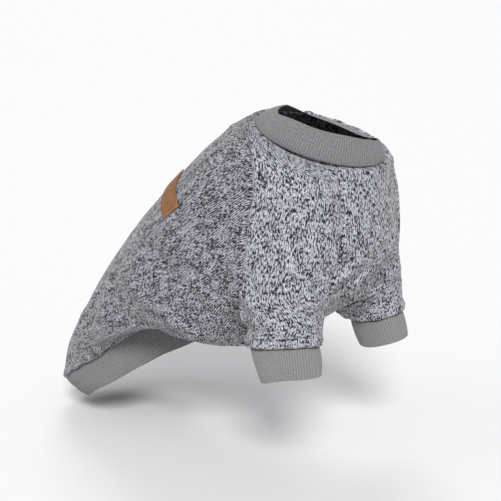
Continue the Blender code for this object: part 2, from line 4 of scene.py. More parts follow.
import bpy
import numpy as np
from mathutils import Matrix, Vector


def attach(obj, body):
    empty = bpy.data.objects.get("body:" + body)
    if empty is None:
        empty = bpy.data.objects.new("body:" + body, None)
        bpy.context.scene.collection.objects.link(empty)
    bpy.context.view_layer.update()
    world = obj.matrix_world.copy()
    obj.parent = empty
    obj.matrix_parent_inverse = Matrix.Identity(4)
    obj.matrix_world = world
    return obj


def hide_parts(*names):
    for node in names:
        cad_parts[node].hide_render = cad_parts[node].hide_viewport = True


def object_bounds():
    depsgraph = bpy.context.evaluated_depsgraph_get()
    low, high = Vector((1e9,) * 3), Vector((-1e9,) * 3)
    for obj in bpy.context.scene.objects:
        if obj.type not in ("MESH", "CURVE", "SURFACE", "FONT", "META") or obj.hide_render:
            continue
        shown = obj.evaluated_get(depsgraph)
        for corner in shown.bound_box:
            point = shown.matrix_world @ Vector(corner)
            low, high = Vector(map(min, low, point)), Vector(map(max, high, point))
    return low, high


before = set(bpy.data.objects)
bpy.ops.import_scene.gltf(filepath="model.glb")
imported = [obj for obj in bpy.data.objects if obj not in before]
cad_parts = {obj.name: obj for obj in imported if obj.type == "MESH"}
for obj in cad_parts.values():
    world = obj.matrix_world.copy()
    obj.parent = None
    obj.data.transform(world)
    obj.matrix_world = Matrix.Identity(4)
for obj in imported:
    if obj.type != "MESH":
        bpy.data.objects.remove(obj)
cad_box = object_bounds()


# ---- Studio ------------------------------------------------------------------------
# A wide pale floor under an even sky, with three soft lights from far away: the main one
# from the sweater's front right, and weaker ones from its rear right and its rear left.
# Lengths are in metres here, unless said.

MM = 0.001
LOOK_AT = Vector((0, 0, -0.130))
CAMERA_DISTANCE = 1.2
CAMERA_TURN, CAMERA_HEIGHT = radians(38), radians(13)
SENSOR = 36.0  # millimetres
IMAGE_WIDTH = 501  # pixels, with one pixel to each millimetre at LOOK_AT
FLOOR_DROP = 0.012  # how far the floor lies under the hem
FLOOR_SIZE = 120.0
FLOOR_COLOUR, FLOOR_ROUGHNESS = (0.80, 0.80, 0.80, 1), 0.9
LIGHTS = (
    # name, from_x, from_y, from_z, spread in degrees, strength
    ("key", 0.92, -1.05, 1.10, 20, 2.8),
    ("side", -0.80, -0.80, 0.50, 40, 0.35),
    ("rim", -0.80, 0.90, 1.10, 30, 1.0),
)
SKY = (0.96, 0.97, 1.0, 1.0)
SKY_STRENGTH = 0.40

away = Vector(
    (
        sin(CAMERA_TURN) * cos(CAMERA_HEIGHT),
        -cos(CAMERA_TURN) * cos(CAMERA_HEIGHT),
        sin(CAMERA_HEIGHT),
    )
)
camera = bpy.data.objects.new("camera", bpy.data.cameras.new("camera"))
camera.data.sensor_width = SENSOR
camera.data.lens = SENSOR * CAMERA_DISTANCE / MM / IMAGE_WIDTH
camera.data.clip_end = FLOOR_SIZE
camera.location = LOOK_AT + away * CAMERA_DISTANCE
camera.rotation_mode = "QUATERNION"
camera.rotation_quaternion = (-away).to_track_quat("-Z", "Y")
bpy.context.scene.collection.objects.link(camera)
bpy.context.scene.camera = camera

for name, x, y, z, spread, strength in LIGHTS:
    lamp = bpy.data.lights.new(name, "SUN")
    lamp.angle = radians(spread)
    lamp.energy = strength
    stand = bpy.data.objects.new(name, lamp)
    stand.rotation_mode = "QUATERNION"
    stand.rotation_quaternion = (-Vector((x, y, z))).to_track_quat("-Z", "Y")
    bpy.context.scene.collection.objects.link(stand)

sky = bpy.data.worlds.new("sky")
sky.use_nodes = True
sky.node_tree.nodes["Background"].inputs["Color"].default_value = SKY
sky.node_tree.nodes["Background"].inputs["Strength"].default_value = SKY_STRENGTH
bpy.context.scene.world = sky
bpy.context.scene.view_settings.view_transform = "Standard"

bpy.ops.mesh.primitive_plane_add(size=FLOOR_SIZE, location=(0, 0, cad_box[0].z - FLOOR_DROP))
floor = bpy.context.object
floor.name = "floor"
paper = bpy.data.materials.new("pale_floor")
paper.use_nodes = True
paper.node_tree.nodes["Principled BSDF"].inputs["Base Color"].default_value = FLOOR_COLOUR
paper.node_tree.nodes["Principled BSDF"].inputs["Roughness"].default_value = FLOOR_ROUGHNESS
floor.data.materials.append(paper)


# ---- Back panel --------------------------------------------------------------------
# One piece of heather sweater fleece from the neck over the back and both flanks. It is
# cut on the worn form, a trunk blended with two sleeves, and its edges sink into the
# seams. The tables are in millimetres, as +X forward, +Y left, +Z up.

TRUNK = (
    # name, back_x, back_z, front_x, front_z, half_width, widest_at, fullness
    ("neck seam", 23, 11, 143, -31, 66, 0.50, 2.0),
    ("withers", -7, -1.8, 151, -70, 81, 0.50, 2.1),
    ("shoulder", -59, -46, 151, -112, 93, 0.48, 2.2),
    ("brisket", -112, -95, 122, -155, 97, 0.48, 2.3),
    ("ribs", -157, -144, 80, -190, 95, 0.48, 2.3),
    ("flank", -196, -197, 31, -216, 91, 0.48, 2.2),
    ("loin", -226, -251, -42, -196, 87, 0.48, 2.1),
    ("hem seam", -235, -303, -91, -204, 80, 0.50, 2.0),
)
SLEEVE = (
    # name, x, y, z, half_fore, half_side
    ("cap", 60, 20, 10, 12, 10),
    ("shoulder", 78, 44, -45, 44, 34),
    ("upper arm", 87, 57, -100, 41, 34),
    ("elbow", 94, 67, -150, 37, 31),
    ("cuff seam", 102, 75, -194, 30, 24),
    ("cuff edge", 109, 79, -220, 28, 22),
)
BACK_RAGLAN = (
    # section, degrees round from the back
    (0.0, 35), (0.25, 54), (0.5, 69), (1.0, 87), (2.0, 107), (3.0, 124),
    (3.5, 132), (3.75, 140), (3.875, 144), (4.0, 157),
)
SIDE_SEAM = ((4.0, 157), (5.0, 151), (6.0, 146), (7.0, 143))
UNDERARM, HIP, HEM = 4.0, 4.8, 7.0  # sections of the trunk
CUFF_SEAM = 4  # section of the sleeve
BLEND = 22.0  # how softly a sleeve runs into the trunk
FULLNESS = 2.2  # of a sleeve's sections: 2 is an oval, and more is squarer
CUFF_YAW = 15.0  # degrees that a sleeve's sections are turned outward
BEYOND = 0.6  # how far past its last section a form is still worked out
STEP = 0.01  # in sections, to measure a slope with
ROWS_PER_SECTION = 4
MIRROR = np.array([1.0, -1.0, 1.0])

# The rear sits turned about the middle line, with its left side up.
REAR_ROLL = 0.12  # rise for each millimetre to the left
ROLL_FROM, ROLL_OVER = -20.0, 120.0  # where it starts in x, and how soon it is whole

# Where the wearer's bent legs draw the cloth aside.
DRAWN = (
    # name, x, y, z, reach, move_x, move_z
    ("right cuff", 70, -75, -192, 24, -11, 0),
    ("edge of the belly", -62, -88, -222, 45, 0, 12),
)
FLEECE = 2.6  # the thickness of the cloth


def unit(vectors):
    return vectors / np.maximum(np.linalg.norm(vectors, axis=-1, keepdims=True), 1e-9)


def dot(a, b):
    return (a * b).sum(axis=-1)


def spline(table, at):
    """A smooth curve through the rows of a table, one unit of `at` from row to row."""
    at = np.asarray(at, float)
    row = np.clip(np.floor(at).astype(int), 0, len(table) - 2)
    part = (at - row)[..., None]
    more = np.vstack([2 * table[0] - table[1], table, 2 * table[-1] - table[-2]])
    a, b, c, d = more[row], more[row + 1], more[row + 2], more[row + 3]
    return b + 0.5 * part * (c - a + part * (2 * a - 5 * b + 4 * c - d + part * (3 * (b - c) + d - a)))


TRUNK_ROWS = np.array([row[1:] for row in TRUNK], float)
SLEEVE_ROWS = np.array([row[1:] for row in SLEEVE], float)


def oval(x, y, half_x, half_y, fullness):
    """The radius of a rounded oval in the direction x, y."""
    length = np.hypot(x, y) + 1e-9
    across = (np.abs(x) / length / half_x) ** fullness
    along = (np.abs(y) / length / half_y) ** fullness
    return (across + along) ** (-1 / fullness)


def trunk_section(at):
    """Centre, ways to the back and along, half depths back and front, width, fullness."""
    row = spline(TRUNK_ROWS, at)
    zero = np.zeros(row.shape[:-1])
    back = np.stack([row[..., 0], zero, row[..., 1]], axis=-1)
    front = np.stack([row[..., 2], zero, row[..., 3]], axis=-1)
    centre = back + (front - back) * row[..., 5:6]
    to_back = unit(back - front)
    normal = np.stack([-to_back[..., 2], zero, to_back[..., 0]], axis=-1)
    depth = np.linalg.norm(back - front, axis=-1)
    back_depth, front_depth = depth * row[..., 5], depth * (1 - row[..., 5])
    return centre, to_back, normal, back_depth, front_depth, row[..., 4], row[..., 6]


def sleeve_section(at):
    """Centre, ways down, fore and aside, and half sizes of the left sleeve."""
    row = spline(SLEEVE_ROWS, at)
    down = unit(spline(SLEEVE_ROWS, at + STEP)[..., :3] - spline(SLEEVE_ROWS, at - STEP)[..., :3])
    yaw = np.radians(CUFF_YAW)
    fore = np.broadcast_to(np.array([np.cos(yaw), -np.sin(yaw), 0.0]), down.shape)
    fore = unit(fore - dot(fore, down)[..., None] * down)
    return row[..., :3], down, fore, np.cross(down, fore), row[..., 3], row[..., 4]


SECTION_TRIES, SECTION_MOVES = 40, 5
LEAST_SLOPE, LONGEST_MOVE = 5.0, 0.5


def nearest_section(points, section, axis, first, last, start=None):
    """The section whose plane holds each point: the nearest of some tries, then closer."""
    at = start
    if start is None:
        tries = np.linspace(first, last, SECTION_TRIES)
        found = section(tries)
        at = tries[np.abs(dot(points[..., None, :] - found[0], found[axis])).argmin(axis=-1)]
    for _ in range(SECTION_MOVES):
        here, ahead = section(at), section(at + STEP)
        off = dot(points - here[0], here[axis])
        slope = (dot(points - ahead[0], ahead[axis]) - off) / STEP
        slope = np.where(np.abs(slope) < LEAST_SLOPE, np.copysign(LEAST_SLOPE, slope), slope)
        at = np.clip(at - np.clip(off / slope, -LONGEST_MOVE, LONGEST_MOVE), first, last)
    return at


def form(points, start=None):
    """About how far each point lies outside the worn form."""
    last = HIP if start is None else HEM + BEYOND
    at = nearest_section(points, trunk_section, 2, -BEYOND, last, start)
    centre, to_back, _, back, front, width, fullness = trunk_section(at)
    x, y = dot(points - centre, to_back), points[..., 1]
    trunk = np.hypot(x, y) - oval(x, y, np.where(x > 0, back, front), width, fullness)
    folded = points * np.where(points[..., 1:2] < 0, MIRROR, 1.0)
    at = nearest_section(folded, sleeve_section, 1, 0.0, CUFF_SEAM + 1 + BEYOND / 2)
    centre, down, fore, side, half_fore, half_side = sleeve_section(at)
    x, y, off = (dot(folded - centre, axis) for axis in (fore, side, down))
    gap = np.hypot(x, y) - oval(x, y, half_fore, half_side, FULLNESS)
    sleeve = np.where(np.abs(off) > 1, np.hypot(np.maximum(gap, 0), off) + np.minimum(gap, 0), gap)
    share = np.clip(0.5 + 0.5 * (sleeve - trunk) / BLEND, 0, 1)
    return sleeve + (trunk - sleeve) * share - BLEND * share * (1 - share)


def cast(origins, directions, start=None, first=4.0, reach=240.0, tries=48, halvings=12):
    """The first point on the form along each ray."""
    near = np.full(origins.shape[:-1], first)
    far = np.full(origins.shape[:-1], reach)
    open_ = np.ones(origins.shape[:-1], bool)
    for distance in np.linspace(first, reach, tries)[1:]:
        outside = form(origins + directions * distance, start) > 0
        far = np.where(open_ & outside, distance, far)
        open_ &= ~outside
        near = np.where(open_, distance, near)
    for _ in range(halvings):
        middle = (near + far) / 2
        inside = form(origins + directions * middle[..., None], start) < 0
        near = np.where(inside, middle, near)
        far = np.where(inside, far, middle)
    return origins + directions * ((near + far) / 2)[..., None]


def trunk_points(at, turn):
    """Points of the form on the trunk's sections; turn runs from the back to the left."""
    at, turn = np.broadcast_arrays(at, turn)
    centre, to_back, *_ = trunk_section(at)
    side = np.array([0.0, 1.0, 0.0])
    directions = to_back * np.cos(turn)[..., None] + side * np.sin(turn)[..., None]
    return cast(centre, directions, at)


def seam_angle(table, at):
    """How far round a seam lies at each section, on a smooth curve through its table."""
    rows = np.array(table, float)
    slopes = np.gradient(rows[:, 1], rows[:, 0])
    k = np.clip(np.searchsorted(rows[:, 0], at, side="right") - 1, 0, len(rows) - 2)
    span = rows[k + 1, 0] - rows[k, 0]
    part = (at - rows[k, 0]) / span
    rise = rows[k + 1, 1] - rows[k, 1]
    start, end = slopes[k] * span, slopes[k + 1] * span
    bend = (start + end - 2 * rise) * part**3 + (3 * rise - 2 * start - end) * part**2
    return np.radians(rows[k, 1] + start * part + bend)


def posed(points):
    """The points with the sweater's rear turned, and drawn aside as DRAWN says."""
    share = np.clip((ROLL_FROM - points[..., 0]) / ROLL_OVER, 0, 1)
    moves = np.zeros(points.shape)
    moves[..., 2] = REAR_ROLL * points[..., 1] * share**2 * (3 - 2 * share)
    for _, *place, reach, move_x, move_z in DRAWN:
        near = np.exp(-((np.linalg.norm(points - place, axis=-1) / reach) ** 2))
        moves += near[..., None] * np.array([move_x, 0.0, move_z])
    return points + moves


def finer(grid, down, across):
    """The smooth surface through a coarse grid, read at parts of its rows and columns."""
    rows, columns = grid.shape[:2]
    tall = spline(grid.reshape(rows, -1), down).reshape(len(down), columns, 3)
    wide = spline(tall.transpose(1, 0, 2).reshape(columns, -1), across)
    return wide.reshape(len(across), len(down), 3).transpose(1, 0, 2)


CLOSE_STEPS = np.array([0.04, 0.09, 0.15, 0.3, 0.5])  # beside a seam


def steps(count, parts):
    """Even parts of a grid's spacing, with closer ones beside its two ends."""
    even = np.arange(count * parts + 1) / parts
    return np.unique(np.round(np.concatenate([even, CLOSE_STEPS, count - CLOSE_STEPS]), 4))


def grid_normals(points):
    down = np.gradient(points, axis=0)
    across = np.gradient(points, axis=1)
    return unit(np.cross(across, down))


# Folds of the worn cloth: soft ridges, and troughs where the height is below zero. Each
# fades at its ends, and wanders a little up and down on its way.
FOLDS = (
    # name, x0, y0, z0, x1, y1, z1, width, height
    ("flank ridge", -97, -88, -144, -4, -87, -199, 9, 8.2),
    ("flank trough", -58, -95, -118, 24, -93, -162, 12, -5.8),
    ("low flank trough", -104, -88, -180, -44, -86, -214, 8, -4.6),
    ("high flank ridge", -66, -95, -92, -20, -97, -120, 8, 2.2),
    ("belly drag", -36, -84, -214, 34, -84, -196, 6, 2.6),
    ("rump ridge", -122, -80, -142, -117, -89, -205, 7.5, 5.6),
    ("rump trough", -148, -72, -168, -150, -76, -224, 8, -4.6),
    ("second rump ridge", -174, -64, -192, -178, -62, -246, 7, 4.0),
    ("underarm drag", 30, -90, -150, -10, -97, -118, 7, -3.2),
    ("underarm drag ridge", 32, -92, -166, -6, -96, -136, 7, 3.2),
    ("shoulder blade trough", 28, -96, -112, 4, -90, -72, 8, -3.0),
    ("back drag", -60, -80, -84, -30, -88, -110, 9, -2.2),
    ("nape fold", 6, -40, -2, 10, 34, -3, 5, 2.7),
    ("nape trough", -6, -40, -14, -4, 34, -15, 6, -2.2),
    ("left flank ridge", -115, 90, -185, -25, 92, -202, 13, 5.7),
    ("left flank trough", -92, 96, -158, -20, 98, -180, 10, -5.4),
    ("left second ridge", -76, 95, -140, -40, 96, -160, 6, 3.0),
    ("left second trough", -60, 95, -126, -26, 97, -148, 5, -2.7),
    ("left rump ridge", -170, 72, -190, -185, 66, -258, 9, 4.1),
    ("left rump trough", -148, 82, -190, -160, 78, -256, 8, -3.5),
    ("left belly drag", -50, 84, -212, 32, 84, -196, 6, 3.2),
    ("left underarm drag", 30, 90, -150, -12, 97, -116, 7, -3.5),
    ("left underarm ridge", 32, 92, -166, -4, 97, -134, 7, 3.0),
    ("rear middle fold", -206, -26, -214, -224, 18, -246, 7, 2.4),
    ("rear middle trough", -200, -10, -202, -214, 34, -236, 7, -2.2),
    ("elbow dimple", 118, -84, -112, 132, -66, -142, 9, -4.9),
    ("elbow dent", 128, -70, -128, 132, -62, -136, 5, -3.2),
    ("elbow ridge", 124, -84, -128, 134, -68, -152, 6, 3.2),
    ("sleeve drag", 62, -96, -128, 104, -98, -150, 8, -2.4),
    ("sleeve drag ridge", 60, -95, -142, 100, -98, -166, 7, 2.4),
    ("sleeve low trough", 66, -92, -172, 112, -96, -178, 5, -2.2),
    ("sleeve head trough", 84, -92, -60, 96, -98, -92, 9, -1.9),
    ("chest fold", 150, 30, -93, 131, -30, -150, 4.8, 6.0),
    ("chest crease", 150, 16, -98, 127, -38, -152, 4, -5.6),
    ("second chest fold", 149, 22, -109, 121, -22, -160, 3.4, 5.0),
    ("second chest crease", 146, 30, -116, 117, -16, -165, 4, -5.4),
    ("third chest fold", 151, 2, -86, 134, -46, -134, 4, 5.2),
    ("third chest crease", 151, -8, -78, 137, -50, -123, 4, -4.0),
    ("fourth chest fold", 140, 42, -126, 110, 2, -170, 4, 4.6),
    ("left elbow fold", 134, 74, -118, 122, 40, -158, 7, -4.1),
    ("left elbow ridge", 136, 70, -134, 118, 36, -168, 5, 3.2),
    ("left shoulder fold", 60, 98, -120, 92, 104, -165, 9, -4.3),
    ("left sleeve ridge", 66, 98, -138, 104, 100, -168, 7, 3.0),
    ("left sleeve trough", 70, 94, -172, 110, 96, -180, 5, -2.2),
)
WANDER, WANDER_PITCH = 2.2, 37.0
FOLD_END = 0.25  # the share of its height that a fold keeps at its ends


def fold_height(points):
    """How far the folds lift each point of the worn form."""
    height = np.zeros(points.shape[:-1])
    for number, fold in enumerate(FOLDS):
        start, end = np.array(fold[1:4], float), np.array(fold[4:7], float)
        length = np.linalg.norm(end - start)
        place = dot(points - start, end - start) / length**2
        along = np.clip(place, 0, 1)
        wave = WANDER * np.sin(place * length / WANDER_PITCH * 2 * pi + number)
        off = points - start - along[..., None] * (end - start)
        off[..., 2] += wave
        fade = np.sqrt(np.clip(1 - (2 * along - 1) ** 2, 0, 1)) * (1 - FOLD_END) + FOLD_END
        height += fold[8] * fade * np.exp(-((np.linalg.norm(off, axis=-1) / fold[7]) ** 2))
    return height


# The label's place, here because its stiff leather holds the cloth under it flat.
LABEL = (
    # corner, section, degrees round from the back, on the right side
    ("front top", 1.95, 25),
    ("rear top", 2.27, 21),
    ("rear bottom", 2.56, 56),
    ("front bottom", 2.25, 59),
)
LABEL_HOLD = 26.0  # how far round its middle the label keeps the cloth smooth
SEAM_WIDTH = 2.6  # of the sunk line at a seam
SWELL_WIDTH, SWELL_SHARPNESS = 5.0, 1.6  # of the rise beside it
SEAM_GAP = 0.12  # how far a panel's edge stays from its seam
LIP_RISE, LIP_REACH, LIP_UNEVEN = 2.4, 6.0, 0.12  # the gathered lip beside a band
LIP_TUCK, TUCK_WIDTH = 2.6, 1.6  # where it goes under at the band
GATHER, GATHER_AT, GATHER_WIDTH = 0.34, 5, 6  # the small folds that run out of the lip
GATHER_WAVES = (
    # millimetres for each radian, start, share
    (4.1, 0.0, 1.0),
    (2.7, 1.3, 0.7),
    (7.9, 0.0, 0.6),
)
RUMPLE, SMALL_RUMPLE = 0.35, 0.6  # the height, and the share of the smaller waves


def beside_seam(distance, dip, swell):
    """The cloth's height where it sinks into a seam and swells beside it."""
    beside = np.exp(-(((distance - SWELL_WIDTH) / SWELL_WIDTH * SWELL_SHARPNESS) ** 2))
    return swell * beside - dip * np.exp(-((distance / SEAM_WIDTH) ** 2))


def beside_band(distance, around):
    """The lip's height: it swells, tucks under at the band, and gathers unevenly."""
    share = distance / LIP_REACH
    waves = sum(part * np.sin(around / length + start) for length, start, part in GATHER_WAVES)
    lip = LIP_RISE * np.e * share * np.exp(-share) * (1 + LIP_UNEVEN * waves)
    tuck = LIP_TUCK * np.exp(-((distance / TUCK_WIDTH) ** 2))
    return lip - tuck + GATHER * waves * np.exp(-(((distance - GATHER_AT) / GATHER_WIDTH) ** 2))


def rumple(points):
    """The small unevenness of soft cloth, as crossing waves some centimetres long."""
    x, y, z = points[..., 0], points[..., 1], points[..., 2]
    wide = np.sin(x / 11 + 1.7 * np.sin(z / 17)) * np.sin(y / 13 + z / 19)
    small = np.sin(x / 6.3 - y / 7.1 + 1.3 * np.sin(z / 9)) * np.sin(z / 7.7 + x / 15)
    return RUMPLE * (wide + SMALL_RUMPLE * small)


def calm(points):
    """A share below 1 for the folds near the label, whose stiff leather holds them flat."""
    section, angle = np.mean([row[1:] for row in LABEL], axis=0)
    middle = trunk_points(np.array([section]), -np.radians(np.array([angle])))[0]
    return 1 - np.exp(-((np.linalg.norm(points - middle, axis=-1) / LABEL_HOLD) ** 4))


def lengths(grid, axis):
    """How far each point lies along its row or column of a grid."""
    gaps = np.linalg.norm(np.diff(grid, axis=axis), axis=-1)
    pad = [(0, 0), (0, 0)]
    pad[axis] = (1, 0)
    return np.pad(np.cumsum(gaps, axis=axis), pad)


def grain_of(across, along):
    """The cloth's own flat directions: across from its middle column, and along it."""
    middle = across[:, across.shape[1] // 2][:, None]
    return np.stack([across - middle, np.broadcast_to(along.mean(axis=1)[:, None], across.shape)], axis=-1)


def cloth_mesh(name, outer, inner, seam_rows, grain, material):
    """A thin closed shell between two grids; rows past seam_rows join into a tube."""
    rows, across = outer.shape[:2]
    index = np.arange(2 * rows * across).reshape(2, rows, across)
    index[:, seam_rows:, -1] = index[:, seam_rows:, 0]
    faces = []
    for layer, order in ((0, 1), (1, -1)):
        sheet = index[layer]
        quads = np.stack([sheet[:-1, :-1], sheet[1:, :-1], sheet[1:, 1:], sheet[:-1, 1:]], axis=-1)
        faces += quads.reshape(-1, 4)[:, ::order].tolist()
    for row, order in ((0, 1), (-1, -1)):
        ends = [index[0, row, :-1], index[0, row, 1:], index[1, row, 1:], index[1, row, :-1]]
        faces += np.stack(ends, axis=-1)[:, ::order].tolist()
    last = min(seam_rows, rows - 1)
    for column, order in ((0, -1), (-1, 1)):
        line = index[:, : last + 1, column]
        ends = [line[0, :-1], line[0, 1:], line[1, 1:], line[1, :-1]]
        faces += np.stack(ends, axis=-1)[:, ::order].tolist()
    points = np.concatenate([outer.reshape(-1, 3), inner.reshape(-1, 3)])
    used = np.unique(np.array([k for face in faces for k in face]))
    renumber = np.zeros(len(points), int)
    renumber[used] = np.arange(len(used))
    faces = [tuple(renumber[list(face)]) for face in faces]
    uv = np.tile(grain.reshape(-1, 2), (2, 1))[used]
    return add_piece(name, posed(points[used]), faces, uv, material)


def add_piece(name, points, faces, uv, material):
    """A smooth mesh object with a `grain` map in metres, riding on the body."""
    mesh = bpy.data.meshes.new(name)
    mesh.from_pydata((points * MM).tolist(), [], [tuple(int(k) for k in face) for face in faces])
    layer = mesh.uv_layers.new(name="grain")
    corners = np.zeros(len(mesh.loops), np.int32)
    mesh.loops.foreach_get("vertex_index", corners)
    layer.data.foreach_set("uv", (uv[corners] * MM).astype(np.float32).ravel())
    mesh.materials.append(material)
    mesh.shade_smooth()
    made = bpy.data.objects.new(name, mesh)
    bpy.context.scene.collection.objects.link(made)
    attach(made, "root")
    return made


def nodes_for(material):
    """A short way to add a node to a material, with its values and links."""
    tree = material.node_tree

    def add(kind, links=(), **values):
        node = tree.nodes.new(kind)
        for key, value in values.items():
            if hasattr(node, key):
                setattr(node, key, value)
            else:
                node.inputs[key.replace("_", " ").title()].default_value = value
        for socket, source in links:
            tree.links.new(source, node.inputs[socket])
        return node

    return add


def ramp(add, source, *stops):
    """A colour ramp with a stop for each place and colour."""
    node = add("ShaderNodeValToRGB", [("Fac", source)])
    while len(node.color_ramp.elements) < len(stops):
        node.color_ramp.elements.new(0.5)
    for element, (place, colour) in zip(node.color_ramp.elements, stops):
        element.position = place
        element.color = (*colour, 1)
    return node.outputs["Color"]


def mix(add, kind, share, first, second):
    """Two colours, or sockets that give them, mixed as `kind` says."""
    node = add("ShaderNodeMix", data_type="RGBA", blend_type=kind)
    for socket, value in ((0, share), (6, first), (7, second)):
        if isinstance(value, tuple):
            node.inputs[socket].default_value = (*value, 1)
        elif isinstance(value, float):
            node.inputs[socket].default_value = value
        else:
            node.id_data.links.new(value, node.inputs[socket])
    return node.outputs[2]


MARL_LIGHT = (0.58, 0.58, 0.625)
MARL_MIDDLE = (0.27, 0.275, 0.31)
MARL_DARK = (0.020, 0.022, 0.030)
WALE = 2.4  # from stitch column to stitch column, in millimetres
WALE_BEND = 0.3  # how fast the columns wander along their way
WAVE_UNIT = 20  # a wave texture's own factor, which its size has to undo
TUFT = (0.9, 3.0)  # a light tuft's width and length, in millimetres
PATCH = (9.0, 15.0)  # the same of a patch with more or fewer flecks
PATCH_STRENGTH = 0.36  # how much a patch changes the number of its flecks
FLECK_EDGE = 0.07  # how softly a fleck ends
FLEECE_ROUGHNESS, FLEECE_SHEEN = 0.95, 0.15


def heather_fleece(name, flecks, across, along, furrow_shade):
    """Marled knit: light and middle yarn and charcoal flecks along the grain.

    Fewer flecks show where `flecks` is higher. `across` and `along` are their size in
    millimetres. The furrows between the stitch columns get painted shade, and
    `furrow_shade` is how light it leaves them at their darkest.
    """
    cloth = bpy.data.materials.new(name)
    cloth.use_nodes = True
    add = nodes_for(cloth)
    shader = cloth.node_tree.nodes["Principled BSDF"]
    link = cloth.node_tree.links.new
    place = add("ShaderNodeUVMap", uv_map="grain").outputs["UV"]

    def noise(wide, long, detail, rough):
        size = add("ShaderNodeMapping", [("Vector", place)])
        size.inputs["Scale"].default_value = (1 / wide / MM, 1 / long / MM, 1)
        vector = [("Vector", size.outputs["Vector"])]
        return add("ShaderNodeTexNoise", vector, scale=1.0, detail=detail, roughness=rough).outputs["Fac"]

    yarn = noise(*TUFT, 2.0, 0.6)
    marl = ramp(add, yarn, (0.42, MARL_MIDDLE), (0.56, MARL_LIGHT))
    fleck = noise(across, along, 2.0, 0.6)
    patch = noise(*PATCH, 3.0, 0.55)
    density = add("ShaderNodeMath", [(0, patch)], operation="MULTIPLY_ADD")
    density.inputs[1].default_value, density.inputs[2].default_value = PATCH_STRENGTH, -PATCH_STRENGTH / 2
    raised = add("ShaderNodeMath", [(0, fleck), (1, density.outputs[0])], operation="ADD").outputs[0]
    dark = ramp(add, raised, (flecks, (0, 0, 0)), (flecks + FLECK_EDGE, (1, 1, 1)))
    colour = mix(add, "MIX", dark, marl, MARL_DARK)
    size = add("ShaderNodeMapping", [("Vector", place)])
    size.inputs["Scale"].default_value = (1 / WALE / MM / WAVE_UNIT, WALE_BEND / MM / WAVE_UNIT, 1)
    wales = add("ShaderNodeTexWave", [("Vector", size.outputs["Vector"])], scale=2 * pi, distortion=2.0,
                detail=2.0, detail_scale=3.0).outputs["Fac"]
    # Painted shade: the furrows between the stitch columns are darkened, down to furrow_shade.
    furrow_shade_ramp = ramp(add, wales, (0.15, (furrow_shade,) * 3), (0.65, (1.0,) * 3))
    colour = mix(add, "MULTIPLY", 1.0, colour, furrow_shade_ramp)
    link(colour, shader.inputs["Base Color"])
    shader.inputs["Roughness"].default_value = FLEECE_ROUGHNESS
    shader.inputs["Sheen Weight"].default_value = FLEECE_SHEEN
    shader.inputs["Sheen Roughness"].default_value = 0.5
    shader.inputs["Specular IOR Level"].default_value = 0.2
    height = add("ShaderNodeMath", [(0, wales), (1, yarn)], operation="ADD").outputs[0]
    relief = add("ShaderNodeBump", [("Height", height)], strength=0.6, distance=0.0005)
    link(relief.outputs["Normal"], shader.inputs["Normal"])
    return cloth


fleece = heather_fleece("heather_fleece", 0.484, 1.5, 3.6, 0.78)
# The back panel's copy has more flecks and much deeper painted shade in its furrows, which makes the back
# and flanks darker.
back_fleece = heather_fleece("heather_back_fleece_deep_shade", 0.468, 1.35, 3.6, 0.46)
PANEL_PARTS = 5
PANEL_SEAM = (3.2, 0.2)  # how far a panel sinks at a raglan or side seam, and swells beside it


def panel(name, turns, material):
    """A trunk panel between two seams, from the neck's row to the hem's."""
    at = np.arange(HEM * ROWS_PER_SECTION + 1) / ROWS_PER_SECTION
    base = trunk_points(at[:, None], turns(at))
    grid = finer(base, steps(len(at) - 1, PANEL_PARTS), steps(base.shape[1] - 1, PANEL_PARTS))
    normals = grid_normals(grid)
    across, along = lengths(grid, 1), lengths(grid, 0)
    edge = np.minimum(across, across[:, -1:] - across)
    height = (fold_height(grid) + rumple(grid)) * calm(grid) + beside_seam(edge, *PANEL_SEAM)
    height += beside_band(along, across) + beside_band(along[-1:] - along, across)
    outer = grid + normals * height[..., None]
    for column, inside in ((0, 1), (-1, -2)):
        outer[:, column] += unit(grid[:, inside] - grid[:, column]) * SEAM_GAP
    return cloth_mesh(name, outer, outer - normals * FLEECE, len(grid), grain_of(across, along), material)


BACK_COLUMNS = 24


def back_turns(at):
    raglan = seam_angle(BACK_RAGLAN, np.minimum(at, UNDERARM))
    side = seam_angle(SIDE_SEAM, np.maximum(at, UNDERARM))
    return np.where(at <= UNDERARM, raglan, side)[:, None] * np.linspace(-1, 1, BACK_COLUMNS + 1)


back = panel("back_fleece", back_turns, back_fleece)
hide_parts("back_panel_upper", "back_panel_middle", "back_panel_rear")


# ---- Front panel -------------------------------------------------------------------
# Chest and belly in one piece of the same fleece, between the front raglan seams, then
# between the legs and back under the belly to the hem.

FRONT_RAGLAN = (
    # section, degrees round from the back
    (0.0, 140), (1.0, 147), (2.0, 154), (3.0, 159), (3.25, 161),
    (3.5, 163.5), (3.75, 164), (3.875, 162), (4.0, 157),
)
FRONT_COLUMNS = 8


def front_turns(at):
    raglan = seam_angle(FRONT_RAGLAN, np.minimum(at, UNDERARM))
    side = seam_angle(SIDE_SEAM, np.maximum(at, UNDERARM))
    half = np.pi - np.where(at <= UNDERARM, raglan, side)
    return np.pi + half[:, None] * np.linspace(-1, 1, FRONT_COLUMNS + 1)


front = panel("front_fleece", front_turns, fleece)
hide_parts("front_panel")


# ---- Sleeves -----------------------------------------------------------------------
# Two short raglan sleeves of the same fleece. Each starts as a strip at the neck, widens
# between its two raglan seams, closes under the arm and runs as a tube to the cuff.

